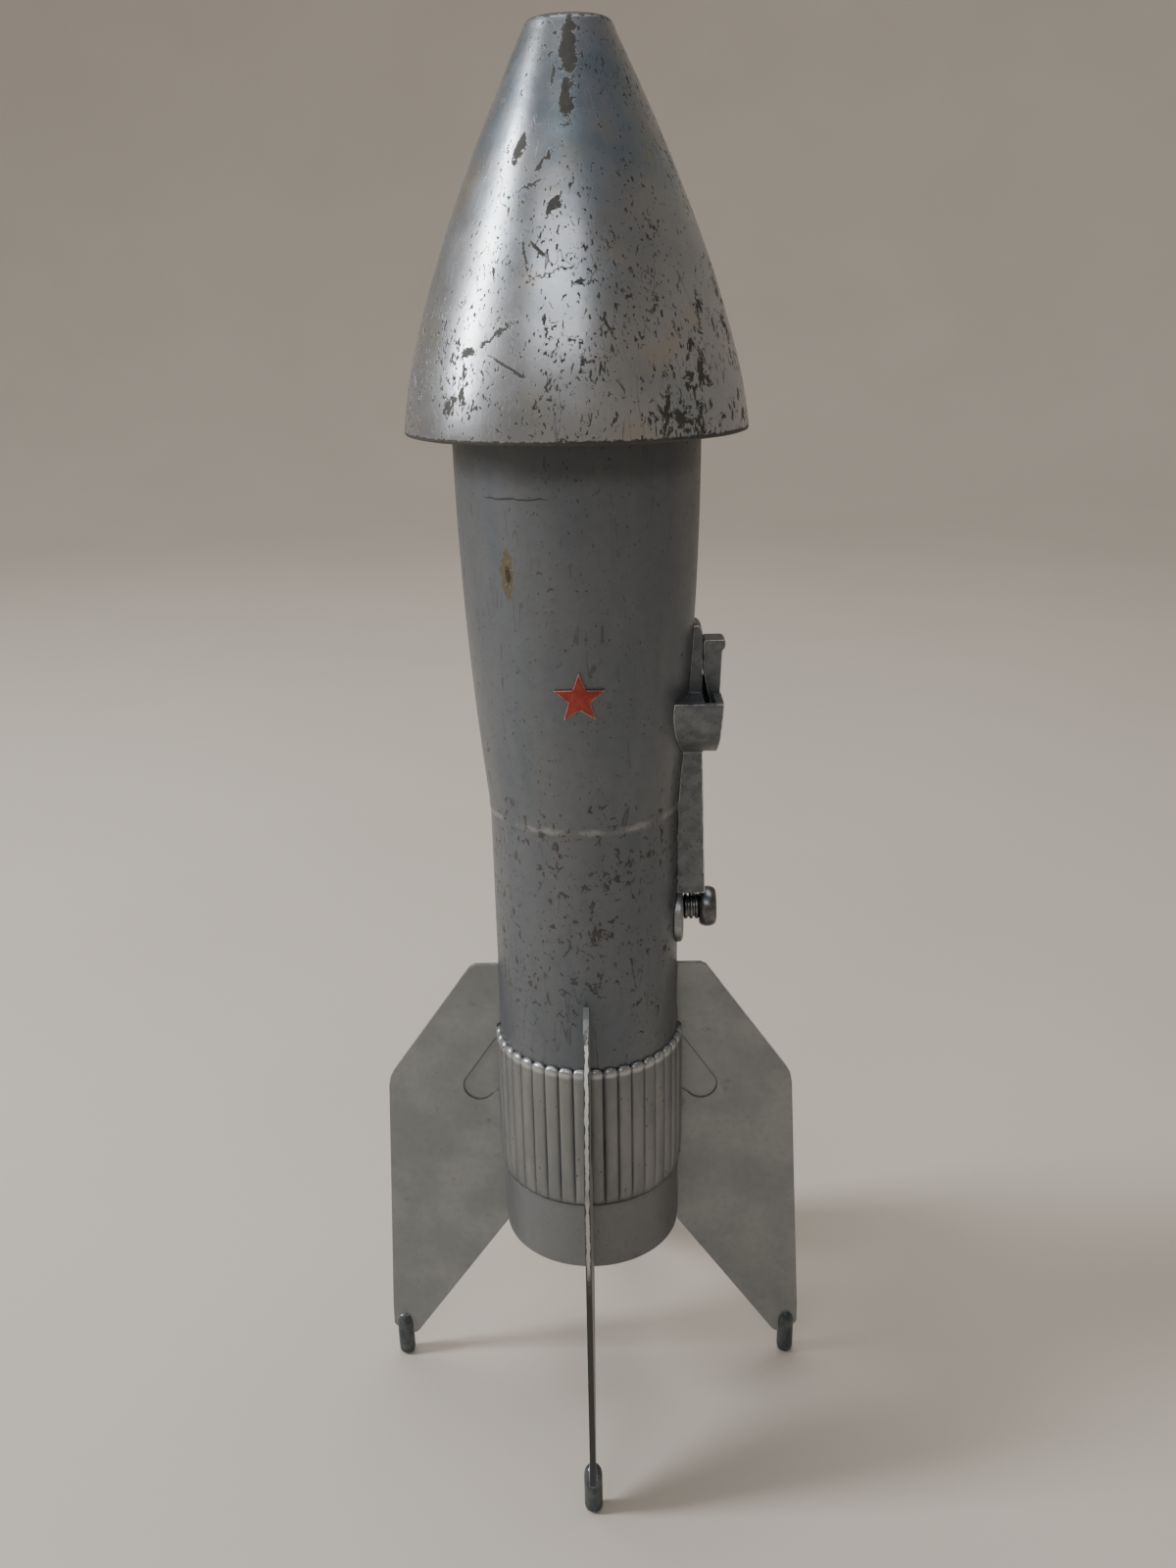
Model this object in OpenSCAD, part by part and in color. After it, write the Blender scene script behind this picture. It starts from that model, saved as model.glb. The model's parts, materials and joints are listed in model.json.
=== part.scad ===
// Die-cast toy rocket that shoots coins into its own nose, standing on four fins.
// Z is up and the feet stand on z = 0. The launcher is on the +X side, the badge faces -Y.

/* [Nose cone] */
// Height of the rocket's tip above the floor
total_h = 292; // [290:0.5:296]
// Height of the nose cone
nose_h = 70; // [68:0.5:74]
// Outer radius of the nose cone's rim
nose_rim_r = 33.06; // [32.8:0.02:33.6]
// Narrowing of the nose cone at its tip
nose_taper = 25.7; // [25:0.1:26]
// How late the nose cone narrows, 1 is a straight cone
nose_power = 1.42; // [1.38:0.01:1.5]
// Wall of the nose cone
nose_wall = 1.8; // [1.6:0.1:2]

/* [Body] */
// Outer radius of the body under the nose
mouth_r = 24.05; // [23.9:0.05:24.1]
// Outer radius of the body's straight waist
waist_r = 19.8; // [19.7:0.05:19.9]
// Height where the waist starts to flare
waist_z = 146; // [144:0.5:147]
// Shape of the flare, 2 is a parabola
flare_power = 1.95; // [1.8:0.05:2.2]
// Wall of the body
body_wall = 1.6; // [1.5:0.05:1.7]
// Outer radius of the tail
tail_r = 20.1; // [20:0.05:20.2]
// Height of the tail's lower end above the floor
tail_z = 41.3; // [41:0.1:41.5]

/* [Collar] */
// Number of ribs round the collar
rib_count = 40; // [32:4:44]
// Radius of one rib
rib_r = 1.4; // [1.3:0.05:1.5]
// Height of the collar's lower edge
collar_low = 58.2; // [58:0.1:60]
// Height of the collar's top
collar_top = 92.4; // [91:0.1:93]

/* [Fins and feet] */
// Thickness of a fin
fin_t = 1.2; // [1.1:0.1:1.6]
// Distance of a foot from the rocket's axis
foot_at = 46.8; // [46:0.1:47]
// Radius of a foot
foot_r = 1.95; // [1.9:0.05:2.1]
// Height of a foot
foot_h = 12; // [11:0.5:13]

/* [Launcher] */
// Outer radius of the coin cup
cup_r = 12.2; // [12:0.1:12.4]
// Radius of the coin pocket, for a 21.2 mm coin
pocket_r = 10.9; // [10.8:0.05:11]
// Width of the coin pocket
pocket_w = 2.2; // [2.1:0.05:2.3]
// Height of the coin's centre
coin_z = 169.2; // [169:0.1:169.4]
// Downward travel of the pull knob
knob_travel = 4.5; // [3.5:0.1:4.6]
// Height of the knob's centre
knob_z = 120.8; // [120.6:0.1:120.9]
// Radius of the knob's head
knob_r = 4.4; // [4:0.1:4.5]

/* [Badge] */
// Radius of the star's tips
star_r = 5.2; // [4:0.1:6]
// Height of the star's centre
star_z = 174.5; // [172:0.5:178]
// How far the star stands out
star_t = 0.6; // [0.4:0.1:0.8]

/* [Hidden] */
$fn = 96;

// Clearance between pieces that are fixed together
snug = 0.03;
// Far enough to cut right through anything
far = 80;

nose_z = total_h - nose_h;
nose_solid_h = 62;
nose_ledge_r = 29.6;
nose_steps = 22;
body_top_z = nose_z + 4.5;
flange_z = nose_z + 0.4;
flange_t = 0.6;
flange_r = mouth_r + 0.95;
floor_z = flange_z + flange_t + 0.05;
floor_t = 1.5;
floor_r = 31.1;
entry_w = 23;
entry_r = 29.3;
rib_in_z = nose_z - 10;
rib_in_t = 2;
rib_in_r = 20.4;
flare_steps = 16;
collar_seat_r = 19.6;
collar_in_r = collar_seat_r + 0.05;
collar_valley_r = 20.25;
rib_at = 19.7;
tail_in_r = tail_r - body_wall;
// A fin's inner edge reaches into the groove between two ribs
fin_root_r = collar_valley_r + 0.5;
part_gap = 0.05;

bridge_half_l = 21.6;
bridge_half_w = 4;
bridge_t = 3.3;
bridge_z = rib_in_z - 0.1 - bridge_t;
bridge_boss_z = rib_in_z + 5;
screw_r = 1.6;
screw_shank_r = 2;
screw_head_r = 3.9;
screw_head_t = 1.85;

tab_upper = [97, 102];
tab_lower = [50, 54.5];
tab_in_r = 16.3;
tab_bend_w = 4;

launcher_out = 24.5;
rail_low_z = knob_z + 4.4;
rail_half_w = 3.1;
spine_half_w = 3.9;
spine_top_z = 184.2;
cup_out = 28.4;
cup_draft = 0.9;
cup_top_z = coin_z + 0.8;
rod_x = 22.9;
rod_r = 0.65;
spring_bore_r = 1.4;
spring_top_z = 147.1;
bush_t = 2.2;
spring_low_z = rail_low_z + bush_t;
collar_t = 1.2;
arm_low_z = coin_z - cup_r + 0.2;
arm_top_z = coin_z - pocket_r + 0.6;
arm_out = 26.3;
arm_half_w = 1;
screw_at_y = 6.5;
screw_at_z = 163.5;

slot_half_w = 1.9;
slot_low_z = knob_z - 6.8;
slot_top_z = knob_z + 3.6;
plate_r = 6.6;
plate_z = knob_z - 1.3;
plate_out = 20.9;
spindle_r = 1.5;

keeper_x = 27.45;
keeper_z = 165.6;
keeper_pin_r = 0.45;
keeper_half_w = 3;
keeper_fork = 1.05;
keeper_boss_r = 0.95;
notch_half_w = 3.3;
notch_z = 163.9;

seat_z = tail_z + 3.3;
seat_t = 1.8;
seat_in_r = 14.5;
notch_r = 17.2;
cam_reach = 16.6;
cam_half_w = 2.2;
door_z = tail_z + 1.1;
door_t = 2.1;
door_r = 18.2;
housing_r = 4.55;
barrel_r = 3.5;
barrel_z = tail_z + 0.3;
cam_z = seat_z + seat_t + 0.95;
cam_t = 1.55;
cam_square = 3.4;
stud_r = 1.25;

// Outer radius of the nose cone at a height above its rim
function nose_r(h) = nose_rim_r - nose_taper * pow(h / nose_h, nose_power);

// Outer radius of the flared body at a height above the floor
function flare_r(z) = waist_r + (mouth_r - waist_r)
    * (1 - pow(1 - (z - waist_z) / (nose_z - waist_z), flare_power));

// Heights of the flare's steps
flare_zs = [for (i = [1:flare_steps]) waist_z + (nose_z - waist_z) * i / flare_steps];

// Solid of the whole body's outer surface, grown by an amount
module body_solid(grow = 0) {
    rotate_extrude()
        polygon(concat(
            [[0, tail_z], [tail_r - 0.5 + grow, tail_z], [tail_r + grow, tail_z + 0.5]],
            [[tail_r + grow, collar_low - 0.2], [collar_seat_r + grow, collar_low - 0.2]],
            [[collar_seat_r + grow, collar_top - 0.4], [waist_r + grow, collar_top - 0.4]],
            [[waist_r + grow, waist_z - 0.6], [waist_r + 0.18 + grow, waist_z]],
            [for (z = flare_zs) [max(flare_r(z), waist_r + 0.18) + grow, z]],
            [[mouth_r + grow, body_top_z], [0, body_top_z]]));
}

// Hollow of the body, with the rib that the nose bridge hooks under
module body_hollow() {
    rotate_extrude()
        polygon(concat(
            [[0, tail_z - 1], [tail_in_r, tail_z - 1], [tail_in_r, collar_top]],
            [[waist_r - body_wall, collar_top + 1], [waist_r - body_wall, waist_z]],
            [for (z = flare_zs) if (z < rib_in_z) [flare_r(z) - body_wall, z]],
            [[flare_r(rib_in_z) - body_wall, rib_in_z], [rib_in_r, rib_in_z]],
            [[rib_in_r, rib_in_z + rib_in_t], [mouth_r - body_wall, rib_in_z + rib_in_t + 1]],
            [[mouth_r - body_wall, body_top_z + 1], [0, body_top_z + 1]]));
}

// Outline with round ends, lying in the YZ plane and standing along X
module slot_shape(half_w, low, top, x0, x1) {
    translate([x0, 0, 0])
        rotate([90, 0, 90])
            linear_extrude(x1 - x0)
                union() {
                    translate([0, low + half_w]) circle(half_w);
                    translate([0, top - half_w]) circle(half_w);
                    translate([-half_w, low + half_w]) square([2 * half_w, top - low - 2 * half_w]);
                }
}

// Straight round bar along X
module bar_x(r, x0, x1, y, z) {
    translate([x0, y, z]) rotate([0, 90, 0]) cylinder(r = r, h = x1 - x0);
}

// Straight round bar along Y, centred on the launcher's plane
module bar_y(r, half_l, x, z) {
    translate([x, half_l, z]) rotate([90, 0, 0]) cylinder(r = r, h = 2 * half_l);
}

// Side outline in the XZ plane, given a width along Y
module side_plate(points, half_w) {
    translate([0, half_w, 0]) rotate([90, 0, 0]) linear_extrude(2 * half_w) polygon(points);
}

// Closed wire through rings of eight points each
module wire_solid(points, rings) {
    sides = [for (i = [0:rings - 1], k = [0:7])
        [i * 8 + k, i * 8 + (k + 1) % 8, (i + 1) * 8 + (k + 1) % 8, (i + 1) * 8 + k]];
    ends = [[for (k = [7:-1:0]) k], [for (k = [0:7]) rings * 8 + k]];
    polyhedron(points, concat(sides, ends), convexity = 10);
}

module nose_cone() {
    outer_h = nose_h - 2;
    color("silver")
        difference() {
            rotate_extrude()
                polygon(concat(
                    [[nose_rim_r - nose_wall + 0.4, nose_z], [nose_rim_r - 0.4, nose_z]],
                    [for (i = [0:nose_steps]) let (h = 0.4 + (outer_h - 0.4) * i / nose_steps)
                        [nose_r(h), nose_z + h]],
                    [[nose_r(outer_h) - 0.75, total_h - 0.8], [nose_r(outer_h) - 1.8, total_h - 0.15]],
                    [[nose_r(outer_h) - 3, total_h], [0, total_h], [0, nose_z + nose_solid_h]],
                    [for (i = [nose_steps:-1:1]) let (h = 4.6 + (nose_solid_h - 4.6) * i / nose_steps)
                        [nose_r(h) - nose_wall * 1.12, nose_z + h]],
                    [[nose_ledge_r, nose_z + 4.3], [nose_ledge_r, floor_z + floor_t + 0.05]],
                    [[nose_rim_r - nose_wall - 0.1, floor_z + floor_t + 0.05]]));
            translate([0, 0, nose_z]) cylinder(r = screw_shank_r + 0.1, h = nose_h + 1);
            translate([0, 0, total_h - screw_head_t - 0.1]) cylinder(r = screw_head_r + 0.15, h = 5);
        }
}

module nose_floor() {
    color("darkgray")
        difference() {
            translate([0, 0, floor_z]) cylinder(r = floor_r, h = floor_t);
            translate([0, 0, floor_z - 1]) cylinder(r = mouth_r + 0.08, h = floor_t + 2);
            intersection() {
                translate([0, -entry_w / 2, floor_z - 1]) cube([far, entry_w, floor_t + 2]);
                translate([0, 0, floor_z - 1]) cylinder(r = entry_r, h = floor_t + 2);
            }
        }
}

module nose_bridge() {
    color("gray")
        difference() {
            union() {
                translate([-bridge_half_w, -bridge_half_l, bridge_z])
                    cube([2 * bridge_half_w, 2 * bridge_half_l, bridge_t]);
                translate([0, 0, bridge_z]) cylinder(r = bridge_half_w, h = bridge_boss_z - bridge_z);
            }
            translate([0, 0, bridge_z - 1]) cylinder(r = screw_r + 0.05, h = far);
        }
}

module nose_screw() {
    slot_w = 1;
    color("dimgray")
        difference() {
            union() {
                translate([0, 0, bridge_z - 1.5]) cylinder(r = screw_r, h = bridge_boss_z - bridge_z + 2);
                translate([0, 0, bridge_boss_z + 0.2])
                    cylinder(r = screw_shank_r, h = total_h - screw_head_t - bridge_boss_z - 0.2);
                translate([0, 0, total_h - 0.05 - screw_head_t])
                    cylinder(r = screw_head_r, h = screw_head_t - 0.5);
                translate([0, 0, total_h - 0.55])
                    cylinder(r1 = screw_head_r, r2 = screw_head_r - 0.5, h = 0.5);
            }
            translate([-far / 2, -slot_w / 2, total_h - 1]) cube([far, slot_w, 2]);
        }
}

// Both halves of the body before they are parted
module body_shell() {
    difference() {
        union() {
            body_solid();
            difference() {
                translate([0, 0, flange_z]) cylinder(r = flange_r, h = flange_t);
                translate([0, -entry_w / 2, flange_z - 1]) cube([far, entry_w, 3]);
            }
        }
        body_hollow();
        slot_shape(slot_half_w, slot_low_z, slot_top_z, 10, 30);
        for (a = [0:90:270], tab = [tab_upper, tab_lower])
            rotate([0, 0, a])
                translate([10, -fin_t / 2 - snug, tab[0] - snug])
                    cube([15, fin_t + 2 * snug, tab[1] - tab[0] + 2 * snug]);
        for (side = [-1, 1])
            bar_x(1.05, 10, 30, side * screw_at_y, screw_at_z);
    }
}

module body_front_half() {
    color("darkgray")
        difference() {
            body_shell();
            translate([-far, -part_gap, 0]) cube([2 * far, far, 300]);
        }
}

module body_back_half() {
    color("darkgray")
        difference() {
            body_shell();
            translate([-far, part_gap - far, 0]) cube([2 * far, far, 300]);
        }
}

module tail_collar() {
    rib_top = collar_top - rib_r;
    color("silver")
        difference() {
            union() {
                translate([0, 0, collar_low])
                    linear_extrude(rib_top - collar_low)
                        union() {
                            circle(collar_valley_r);
                            for (i = [0:rib_count - 1])
                                rotate((i + 0.5) * 360 / rib_count)
                                    translate([rib_at, 0]) circle(rib_r, $fn = 32);
                        }
                for (i = [0:rib_count - 1])
                    rotate([0, 0, (i + 0.5) * 360 / rib_count])
                        translate([rib_at, 0, rib_top]) sphere(rib_r, $fn = 32);
            }
            translate([0, 0, collar_low - 1]) cylinder(r = collar_in_r, h = far);
        }
}

// Outline of a fin in the plane of its radius and height, without its root tabs
fin_outline = [[20.15, 39.4], [43.5, 6.7], [44.4, 6.0], [48.9, 8.1], [49.5, 9.0], [49.4, 14.5],
    [47.5, 51], [46.2, 76.6], [45.8, 78.7], [44.9, 80.4], [26.4, 106.5], [25.1, 107.2],
    [waist_r + 0.05, 107.2], [waist_r + 0.05, collar_top + 0.3], [fin_root_r, collar_top + 0.3],
    [fin_root_r, collar_low - 0.2], [tail_r + 0.05, collar_low - 0.2]];

module fin_blade(t) {
    rotate([90, 0, 0]) linear_extrude(t, center = true) polygon(fin_outline);
}

// Outline of the drop-shaped recess beside the collar, in the plane of the fin
module drop(r) {
    at = [25.4, 76.4];
    translate(at) circle(r);
    polygon([[20.5, at[1] + 3.72 * r], at + r * [0.823, 0.568], at, at + r * [-0.62, -0.78],
        [20.5, at[1] - 0.2 * r]]);
}

module fin(angle) {
    recess = 0.25;
    color("slategray")
        rotate([0, 0, angle])
            union() {
                difference() {
                    fin_blade(fin_t);
                    for (side = [-1, 1])
                        translate([0, side * fin_t / 2, 0])
                            rotate([90, 0, 0]) linear_extrude(2 * recess, center = true) drop(3.6);
                }
                for (tab = [tab_upper, tab_lower]) {
                    translate([tab_in_r, -fin_t / 2, tab[0]])
                        cube([tail_r + 1 - tab_in_r, fin_t, tab[1] - tab[0]]);
                    translate([tab_in_r, -fin_t / 2, tab[0]])
                        cube([fin_t, tab_bend_w + fin_t / 2, tab[1] - tab[0]]);
                }
            }
}

module fin_right() { fin(0); }
module fin_back() { fin(90); }
module fin_left() { fin(180); }
module fin_front() { fin(270); }

module foot(angle) {
    color("lightslategray")
        rotate([0, 0, angle])
            difference() {
                translate([foot_at, 0, 0])
                    rotate_extrude()
                        polygon([[0, 0], [0.9, 0], [1.4, 0.25], [1.8, 0.8], [foot_r, 1.6],
                            [foot_r, foot_h - 2.2], [1.75, foot_h - 1.2], [1.3, foot_h - 0.45],
                            [0.7, foot_h - 0.08], [0, foot_h]]);
                fin_blade(fin_t + 2 * snug);
            }
}

module foot_right() { foot(0); }
module foot_back() { foot(90); }
module foot_left() { foot(180); }
module foot_front() { foot(270); }

module launcher_casting() {
    color("gray")
        difference() {
            union() {
                side_plate([[15, rail_low_z], [25.6, rail_low_z], [launcher_out + 0.25, arm_low_z + 2],
                    [15, arm_low_z + 2]], rail_half_w);
                side_plate([[15, arm_low_z], [launcher_out, arm_low_z], [launcher_out, 182.8],
                    [launcher_out - 0.3, 183.5], [launcher_out - 0.9, 184], [15, spine_top_z]], spine_half_w);
                // The half-round cup, whose outer face leans in towards its lower end
                intersection() {
                    bar_x(cup_r, 12, cup_out, 0, coin_z);
                    side_plate([[12, coin_z - cup_r - 1], [cup_out - cup_draft, coin_z - cup_r - 1],
                        [cup_out, cup_top_z], [12, cup_top_z]], cup_r + 1);
                }
            }
            body_solid(snug);
            // The coin pocket, open at the top
            bar_x(pocket_r, launcher_out, launcher_out + pocket_w, 0, coin_z);
            translate([launcher_out, -pocket_r, coin_z]) cube([pocket_w, 2 * pocket_r, far]);
            // The keeper's notch in the pocket's outer wall and its pin hole
            translate([launcher_out + pocket_w - 0.5, -notch_half_w, notch_z])
                cube([far, 2 * notch_half_w, far]);
            bar_y(keeper_pin_r + 0.01, 6.1, keeper_x, keeper_z);
            // The striker's bores and the slot that its arm moves in
            translate([rod_x, 0, rail_low_z - 1])
                cylinder(r = spring_bore_r, h = spring_top_z + 2.5 - rail_low_z);
            translate([rod_x, 0, rail_low_z]) cylinder(r = 0.95, h = arm_top_z + 1 - rail_low_z);
            translate([rod_x - 0.95, -arm_half_w - 0.3, arm_low_z - knob_travel - 0.4])
                cube([launcher_out + pocket_w - rod_x + 0.95, 2 * arm_half_w + 0.6,
                    arm_top_z - arm_low_z + knob_travel + 0.8]);
            for (side = [-1, 1])
                bar_x(0.95, 10, 23.3, side * screw_at_y, screw_at_z);
        }
}

module launcher_screws() {
    color("dimgray")
        for (side = [-1, 1]) {
            bar_x(0.9, 17.5, 23, side * screw_at_y, screw_at_z);
            difference() {
                bar_x(1.9, 16.3, 17.6, side * screw_at_y, screw_at_z);
                translate([16, side * screw_at_y - 0.3, screw_at_z - 3]) cube([0.9, 0.6, 6]);
            }
        }
}

module slot_plate() {
    bevel = 0.5;
    color("silver")
        difference() {
            union() {
                bar_x(plate_r, 15, plate_out - bevel, 0, plate_z);
                translate([plate_out - bevel, 0, plate_z])
                    rotate([0, 90, 0]) cylinder(r1 = plate_r, r2 = plate_r - bevel, h = bevel);
            }
            body_solid(snug);
            slot_shape(slot_half_w, slot_low_z, slot_top_z, 10, 30);
            // Room for the rail's lower end
            translate([15, -rail_half_w - snug, rail_low_z - snug])
                cube([10, 2 * (rail_half_w + snug), far]);
        }
}

module badge_star() {
    waist = 0.42;
    points = [for (i = [0:9]) let (r = i % 2 == 0 ? star_r : star_r * waist)
        [r * sin(36 * i), star_z + r * cos(36 * i)]];
    color("firebrick")
        intersection() {
            translate([0, -15, 0]) rotate([90, 0, 0]) linear_extrude(12) polygon(points);
            difference() {
                body_solid(star_t);
                body_solid(snug);
            }
        }
}

module coin_keeper() {
    color("gray")
        difference() {
            union() {
                side_plate([[keeper_x - keeper_boss_r, keeper_z], [26.1, 168.2], [25.05, 172.8],
                    [24.75, 175], [24.75, 180.4], [25.1, 180.75], [28.8, 180.75], [29.25, 180.3],
                    [29.2, 179.3], [28.55, 178.4], [28.15, 168], [keeper_x + keeper_boss_r, keeper_z]],
                    keeper_half_w);
                bar_y(keeper_boss_r, keeper_half_w, keeper_x, keeper_z);
            }
            bar_y(keeper_pin_r + 0.05, 5, keeper_x, keeper_z);
            translate([24, -keeper_fork, keeper_z - 3]) cube([8, 2 * keeper_fork, 5]);
        }
}

module keeper_pin() {
    color("dimgray") bar_y(keeper_pin_r, 6, keeper_x, keeper_z);
}

// Point number k of ring number i on the keeper's torsion spring: a leg, the coil round the pin, a leg
function torsion_point(i, k, rings, turns, r, wire, leg) =
    let (j = min(max(i - 1, 0), rings - 2), a = 180 - 360 * turns * j / (rings - 2),
        y = 0.6 - 1.2 * j / (rings - 2), drop = i == 0 ? -leg : i == rings ? leg : 0, b = 360 * k / 8)
        [(r + wire * cos(b)) * cos(a), y + wire * sin(b), (r + wire * cos(b)) * sin(a) + drop];

module keeper_spring() {
    turns = 3;
    rings = 62;
    points = [for (i = [0:rings], k = [0:7]) torsion_point(i, k, rings, turns, 0.7, 0.12, 1.2)];
    color("silver") translate([keeper_x, 0, keeper_z]) wire_solid(points, rings);
}

module rail_bush() {
    color("goldenrod")
        difference() {
            translate([rod_x, 0, rail_low_z]) cylinder(r = spring_bore_r - 0.02, h = bush_t);
            translate([rod_x, 0, rail_low_z - 1]) cylinder(r = rod_r + 0.07, h = bush_t + 2);
        }
}

module striker_rod() {
    color("dimgray")
        union() {
            translate([rod_x, 0, knob_z - 1]) cylinder(r = rod_r, h = arm_top_z - knob_z + 1);
            translate([rod_x, 0, spring_top_z]) cylinder(r = spring_bore_r - 0.2, h = collar_t);
            translate([rod_x - 0.6, -arm_half_w, arm_low_z])
                cube([arm_out - rod_x + 0.6, 2 * arm_half_w, arm_top_z - arm_low_z]);
        }
}

// Point number k of ring number i on a coil that climbs along Z
function coil_point(i, k, rings, turns, r, wire, low, high) =
    let (a = 360 * turns * i / rings, z = low + (high - low) * i / rings, b = 360 * k / 8)
        [(r + wire * cos(b)) * cos(a), (r + wire * cos(b)) * sin(a), z + wire * sin(b)];

module striker_spring() {
    turns = 11;
    rings = turns * 14;
    wire = 0.17;
    end_gap = wire + 0.02;
    points = [for (i = [0:rings], k = [0:7])
        coil_point(i, k, rings, turns, 1.02, wire, spring_low_z + end_gap, spring_top_z - end_gap)];
    color("silver") translate([rod_x, 0, 0]) wire_solid(points, rings);
}

module pull_knob() {
    shaft_r = 2.8;
    groove_r = shaft_r - 0.4;
    color("silver")
        difference() {
            translate([0, 0, knob_z])
                rotate([0, 90, 0])
                    rotate_extrude()
                        polygon([[0, 16.1], [spindle_r, 16.1], [spindle_r, 21.15], [shaft_r, 21.25],
                            [shaft_r, 22.1], [groove_r, 22.2], [groove_r, 22.4], [shaft_r, 22.5],
                            [shaft_r, 23.2], [groove_r, 23.3], [groove_r, 23.5], [shaft_r, 23.6],
                            [shaft_r, 24.3], [2.9, 24.5], [knob_r - 0.75, 25.1], [knob_r - 0.3, 25.7],
                            [knob_r, 26.6],
                            [knob_r - 0.25, 27.4], [knob_r - 1.1, 28], [knob_r - 2.4, 28.18], [0, 28.2]]);
            translate([rod_x, 0, knob_z - 1.02]) cylinder(r = rod_r + 0.02, h = 5);
        }
}

module knob_washer() {
    color("dimgray")
        difference() {
            bar_x(2.8, 16.7, 17.4, 0, knob_z);
            bar_x(spindle_r + 0.02, 16, 18, 0, knob_z);
        }
}

module trap_seat() {
    color("gray")
        difference() {
            translate([0, 0, seat_z]) cylinder(r = tail_in_r - snug, h = seat_t);
            translate([0, 0, seat_z - 1]) cylinder(r = seat_in_r, h = seat_t + 2);
            intersection() {
                translate([-far / 2, -cam_half_w - 0.6, seat_z - 1])
                    cube([far, 2 * cam_half_w + 1.2, seat_t + 2]);
                translate([0, 0, seat_z - 1]) cylinder(r = notch_r, h = seat_t + 2);
            }
        }
}

module trap_door() {
    color("gray")
        difference() {
            union() {
                translate([0, 0, door_z]) cylinder(r = door_r, h = door_t - 0.8);
                translate([0, 0, door_z + door_t - 0.8]) cylinder(r = door_r - 0.6, h = 0.8);
            }
            translate([0, 0, door_z - 1]) cylinder(r = housing_r + snug, h = door_t + 2);
            translate([0, 0, door_z - 1]) cylinder(r = door_r - 1.5, h = 1.4);
        }
}

module lock_housing() {
    color("darkgray")
        difference() {
            union() {
                translate([0, 0, door_z - 0.45]) cylinder(r = housing_r + 1.6, h = 0.8);
                translate([0, 0, door_z]) cylinder(r = housing_r, h = cam_z - door_z - 0.1);
            }
            translate([0, 0, door_z - 2]) cylinder(r = barrel_r + 0.05, h = 10);
        }
}

module lock_barrel() {
    color("goldenrod")
        difference() {
            union() {
                translate([0, 0, barrel_z]) cylinder(r = barrel_r, h = cam_z - 0.05 - barrel_z);
                translate([-cam_square / 2, -cam_square / 2, cam_z - 0.1])
                    cube([cam_square, cam_square, cam_t + 0.05]);
                translate([0, 0, cam_z]) cylinder(r = stud_r, h = cam_t + 2.6);
            }
            translate([-2.2, -0.4, barrel_z - 1]) cube([4.4, 0.8, 4]);
        }
}

module lock_cam() {
    hole = cam_square + 2 * snug;
    color("dimgray")
        difference() {
            union() {
                translate([-cam_reach + cam_half_w, -cam_half_w, cam_z])
                    cube([2 * (cam_reach - cam_half_w), 2 * cam_half_w, cam_t]);
                for (side = [-1, 1])
                    translate([side * (cam_reach - cam_half_w), 0, cam_z])
                        cylinder(r = cam_half_w, h = cam_t);
                translate([0, 0, cam_z]) cylinder(r = 4, h = cam_t);
            }
            translate([-hole / 2, -hole / 2, cam_z - 1]) cube([hole, hole, cam_t + 2]);
        }
}

module cam_nut() {
    color("silver")
        translate([0, 0, cam_z + cam_t + 0.1])
            difference() {
                cylinder(r = 2.6, h = 1.8, $fn = 6);
                translate([0, 0, -1]) cylinder(r = stud_r + 0.03, h = 4);
            }
}

nose_cone();
nose_floor();
nose_bridge();
nose_screw();
body_front_half();
body_back_half();
tail_collar();
fin_right();
fin_back();
fin_left();
fin_front();
foot_right();
foot_back();
foot_left();
foot_front();
launcher_casting();
launcher_screws();
slot_plate();
badge_star();
coin_keeper();
keeper_pin();
keeper_spring();
rail_bush();
striker_rod();
striker_spring();
pull_knob();
knob_washer();
trap_seat();
trap_door();
lock_housing();
lock_barrel();
lock_cam();
cam_nut();
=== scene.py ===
import json
import math

import bmesh
import bpy
from mathutils import Matrix, Vector, noise


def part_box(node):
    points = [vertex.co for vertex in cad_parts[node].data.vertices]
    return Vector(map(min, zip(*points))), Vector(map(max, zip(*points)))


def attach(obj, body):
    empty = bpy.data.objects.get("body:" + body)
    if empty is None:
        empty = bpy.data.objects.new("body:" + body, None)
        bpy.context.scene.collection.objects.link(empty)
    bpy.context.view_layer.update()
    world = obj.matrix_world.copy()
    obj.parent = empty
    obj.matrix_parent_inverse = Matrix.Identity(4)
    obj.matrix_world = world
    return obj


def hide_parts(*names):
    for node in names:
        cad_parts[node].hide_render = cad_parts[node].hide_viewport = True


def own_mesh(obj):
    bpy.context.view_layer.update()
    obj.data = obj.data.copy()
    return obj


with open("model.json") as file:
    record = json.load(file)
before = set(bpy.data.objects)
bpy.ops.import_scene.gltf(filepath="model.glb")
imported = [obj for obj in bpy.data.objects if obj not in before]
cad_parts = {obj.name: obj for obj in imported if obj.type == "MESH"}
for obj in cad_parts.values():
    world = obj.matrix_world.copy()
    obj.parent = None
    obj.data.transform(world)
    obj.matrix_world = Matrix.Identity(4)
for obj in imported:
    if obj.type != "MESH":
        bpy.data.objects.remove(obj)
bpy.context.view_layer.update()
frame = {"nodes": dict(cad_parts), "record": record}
scene = bpy.context.scene
MM = 0.001

# ------------------------------------------------------- sizes, taken from the frame where it has them
nose_low, nose_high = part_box("nose_cone")
body_low, body_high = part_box("body_front_half")
collar_low, collar_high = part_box("tail_collar")
floor_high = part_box("nose_floor")[1]
screw_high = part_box("nose_screw")[1]
knob_low, knob_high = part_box("pull_knob")

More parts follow.
